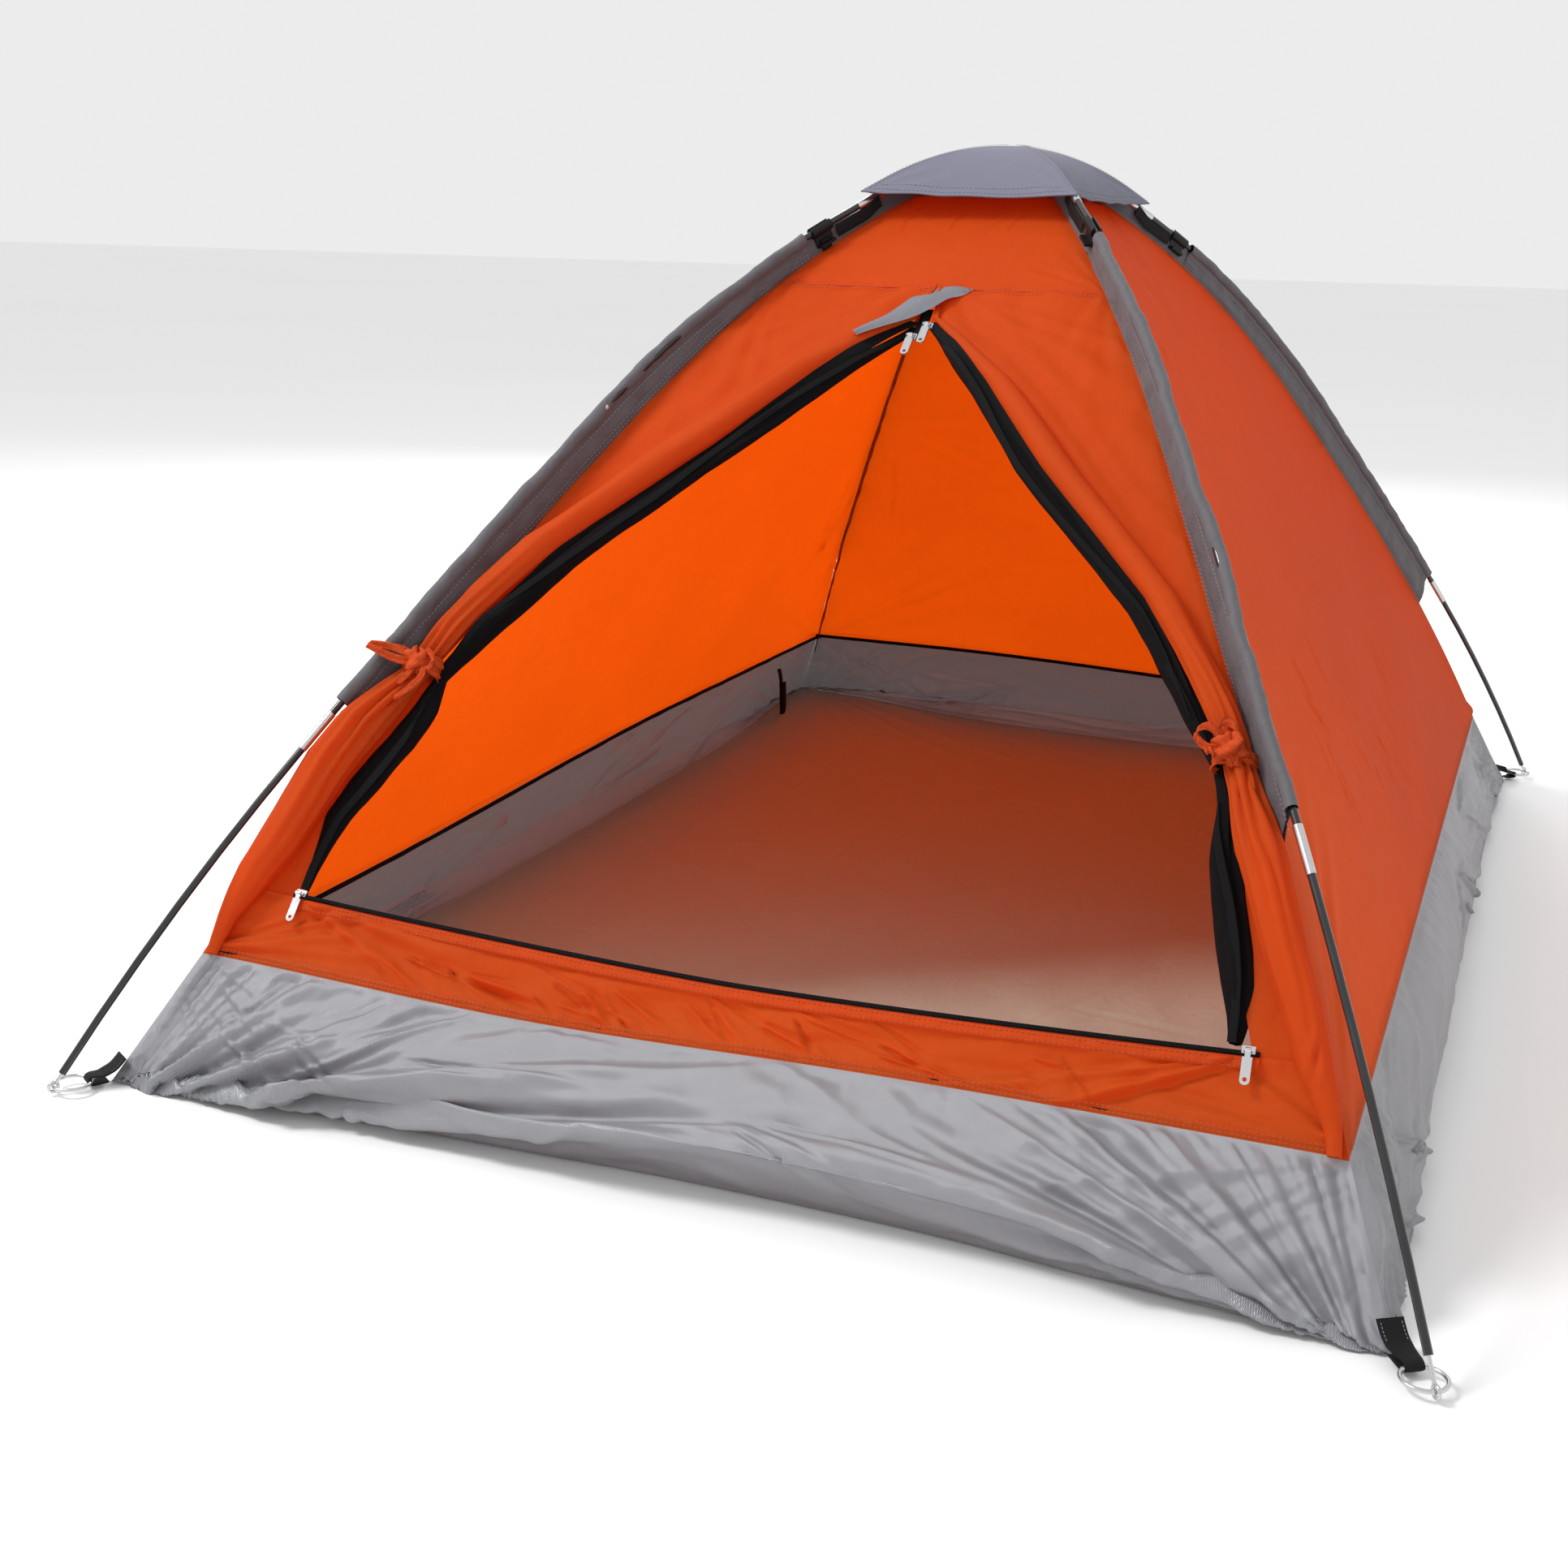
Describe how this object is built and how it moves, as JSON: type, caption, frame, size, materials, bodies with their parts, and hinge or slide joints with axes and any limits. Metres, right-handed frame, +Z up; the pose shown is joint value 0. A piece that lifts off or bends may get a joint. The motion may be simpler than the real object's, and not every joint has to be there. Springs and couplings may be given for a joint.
{
  "type": "dome tent",
  "caption": "Low dome tent pitched on crossing flexible poles in fabric sleeves, with a raised waterproof floor, a small top cap over a mesh vent and a zipped door rolled open.",
  "frame": {"origin": "middle of the floor, on the ground", "axes": "+Z up; the door is in the short side that faces -Y; +X is to the right for someone looking in through the door; +Y runs to the back of the tent"},
  "size_m": [1.393, 2.1224, 0.9916],
  "materials": {
    "canopy_orange": "matt",
    "cap_grey": "matt",
    "sleeve_grey": "matt",
    "mesh_black": "matt",
    "tub_silver": "satin",
    "webbing_black": "matt",
    "rod_fibreglass": "satin",
    "steel": "satin",
    "zip_metal": "polished",
    "clip_plastic": "satin",
    "shock_cord": "matt",
    "zip_black": "matt"
  },
  "bodies": {
    "tent": {"pole_1_rods": "rod_fibreglass", "pole_1_ferrules": "steel", "pole_1_shock_cord": "shock_cord", "pole_2_rods": "rod_fibreglass", "pole_2_ferrules": "steel", "pole_2_shock_cord": "shock_cord", "corner_pins": "steel", "corner_rings": "steel", "strap_front_left": "webbing_black", "strap_front_right": "webbing_black", "strap_back_right": "webbing_black", "strap_back_left": "webbing_black", "sleeve_front_left": "sleeve_grey", "sleeve_front_right": "sleeve_grey", "sleeve_back_right": "sleeve_grey", "sleeve_back_left": "sleeve_grey", "floor": "tub_silver", "tub_front": "tub_silver", "tub_right": "tub_silver", "tub_back": "tub_silver", "tub_left": "tub_silver", "wall_right": "canopy_orange", "wall_back": "canopy_orange", "wall_left": "canopy_orange", "front_panel_left": "canopy_orange", "front_panel_right": "canopy_orange", "front_yoke": "canopy_orange", "door_sill": "canopy_orange", "roof_mesh": "mesh_black", "door_roll_left": "canopy_orange", "door_roll_right": "canopy_orange", "mesh_roll_left": "mesh_black", "mesh_roll_right": "mesh_black", "door_tie_left": "canopy_orange", "door_tie_right": "canopy_orange", "zip_flap": "cap_grey", "sill_zip": "zip_black", "door_zip_end": "zip_black", "inner_loop": "webbing_black", "door_slider": "zip_metal", "mesh_slider": "zip_metal"},
    "cap": {"cap": "cap_grey", "cap_tapes": "webbing_black"},
    "slider_left": {"sill_slider_left": "zip_metal"},
    "slider_right": {"sill_slider_right": "zip_metal"},
    "pull_left": {"sill_pull_left": "zip_metal"},
    "pull_right": {"sill_pull_right": "zip_metal"},
    "pull_door": {"door_pull": "zip_metal"},
    "pull_mesh": {"mesh_pull": "zip_metal"},
    "clip_fl": {"clip_front_left": "clip_plastic"},
    "clip_fr": {"clip_front_right": "clip_plastic"},
    "clip_br": {"clip_back_right": "clip_plastic"},
    "clip_bl": {"clip_back_left": "clip_plastic"}
  },
  "joints": [
    {"name": "cap_lift", "type": "slide", "parent": "tent", "child": "cap", "axis": [0, 0, 1], "range_m": [0, 0.12]},
    {"name": "sill_zip_left", "type": "slide", "parent": "tent", "child": "slider_left", "axis": [0.9992, -0.0245, -0.0321], "range_m": [0, 0.46]},
    {"name": "sill_zip_right", "type": "slide", "parent": "tent", "child": "slider_right", "axis": [-0.9992, -0.0245, -0.0321], "range_m": [0, 0.46]},
    {"name": "sill_pull_left_swing", "type": "hinge", "parent": "slider_left", "child": "pull_left", "pos_m": [-0.49484, -0.87289, 0.19418], "axis": [-0.9992, 0.0245, 0.0321], "range_deg": [0, 130]},
    {"name": "sill_pull_right_swing", "type": "hinge", "parent": "slider_right", "child": "pull_right", "pos_m": [0.49484, -0.87289, 0.19418], "axis": [-0.9992, -0.0245, -0.0321], "range_deg": [0, 130]},
    {"name": "door_pull_swing", "type": "hinge", "parent": "tent", "child": "pull_door", "pos_m": [0.007, -0.35799, 0.78365], "axis": [-1, 0, 0], "range_deg": [0, 120]},
    {"name": "mesh_pull_swing", "type": "hinge", "parent": "tent", "child": "pull_mesh", "pos_m": [-0.007, -0.37198, 0.77164], "axis": [-1, 0, 0], "range_deg": [0, 120]},
    {"name": "clip_fl_swing", "type": "hinge", "parent": "tent", "child": "clip_fl", "pos_m": [-0.16401, -0.25233, 0.88369], "axis": [-0.4849, -0.746, -0.4564], "range_deg": [-8, 8]},
    {"name": "clip_fr_swing", "type": "hinge", "parent": "tent", "child": "clip_fr", "pos_m": [0.16401, -0.25233, 0.89309], "axis": [0.4849, -0.746, -0.4564], "range_deg": [-8, 8]},
    {"name": "clip_br_swing", "type": "hinge", "parent": "tent", "child": "clip_br", "pos_m": [0.16401, 0.25233, 0.88369], "axis": [0.4849, 0.746, -0.4564], "range_deg": [-8, 8]},
    {"name": "clip_bl_swing", "type": "hinge", "parent": "tent", "child": "clip_bl", "pos_m": [-0.16401, 0.25233, 0.89309], "axis": [-0.4849, 0.746, -0.4564], "range_deg": [-8, 8]}
  ]
}
